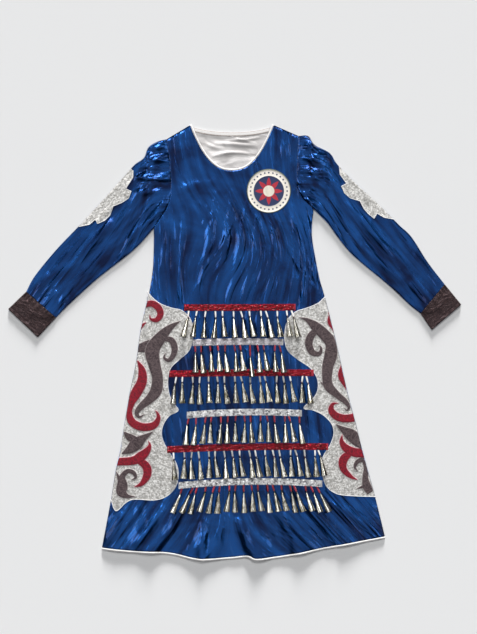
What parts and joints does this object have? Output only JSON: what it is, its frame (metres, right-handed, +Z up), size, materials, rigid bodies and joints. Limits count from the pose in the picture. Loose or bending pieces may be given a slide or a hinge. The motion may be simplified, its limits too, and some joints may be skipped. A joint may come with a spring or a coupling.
{
  "type": "jingle dress",
  "caption": "Long-sleeved metallic blue jingle dress laid flat, with silver side panels, red and grey scrolls, ribbon bands and rows of rolled metal cones.",
  "frame": {"origin": "middle of the laid dress's outline, on the surface it lies on", "axes": "+Z up out of the surface, towards the dress's front; +Y towards the neck; +X towards the wearer's left sleeve"},
  "size_m": [1.222, 1.1785, 0.0278],
  "materials": {
    "blue_cloth": "metallic foil on polyester, soft streaks",
    "lining_cloth": "pale matt reverse side",
    "white_binding": "woven, matt",
    "silver_cloth": "silver glitter dots with swirls",
    "red_applique": "satin, slight glitter",
    "taupe_applique": "satin, slight glitter",
    "cuff_cloth": "charcoal crushed foil",
    "red_band": "red foil braid",
    "silver_band": "silver foil braid",
    "patch_cloth": "printed twill with an embroidered rim",
    "jingle_metal": "bright tinplate, rolled"
  },
  "bodies": {
    "root": {"back_panel": "lining_cloth", "front_panel": "blue_cloth", "right_sleeve": "blue_cloth", "left_sleeve": "blue_cloth", "right_cuff": "cuff_cloth", "left_cuff": "cuff_cloth", "neck_binding_front": "white_binding", "neck_binding_back": "white_binding", "hem_binding_front": "white_binding", "hem_binding_back": "white_binding", "right_side_panel": "silver_cloth", "left_side_panel": "silver_cloth", "right_sleeve_panel": "silver_cloth", "left_sleeve_panel": "silver_cloth", "chest_patch": "patch_cloth", "right_scroll_1": "red_applique", "right_scroll_3": "red_applique", "right_scroll_5": "red_applique", "left_scroll_1": "red_applique", "left_scroll_3": "red_applique", "left_scroll_4": "red_applique", "left_scroll_6": "red_applique", "right_scroll_2": "taupe_applique", "right_scroll_4": "taupe_applique", "right_scroll_6": "taupe_applique", "left_scroll_2": "taupe_applique", "left_scroll_5": "taupe_applique", "left_scroll_7": "taupe_applique", "band_1": "red_band", "jingles_1": "jingle_metal", "band_2": "silver_band", "jingles_2": "jingle_metal", "band_3": "red_band", "jingles_3": "jingle_metal", "band_4": "silver_band", "jingles_4": "jingle_metal", "band_5": "red_band", "jingles_5": "jingle_metal", "band_6": "silver_band", "jingles_6": "jingle_metal"}
  },
  "joints": []
}
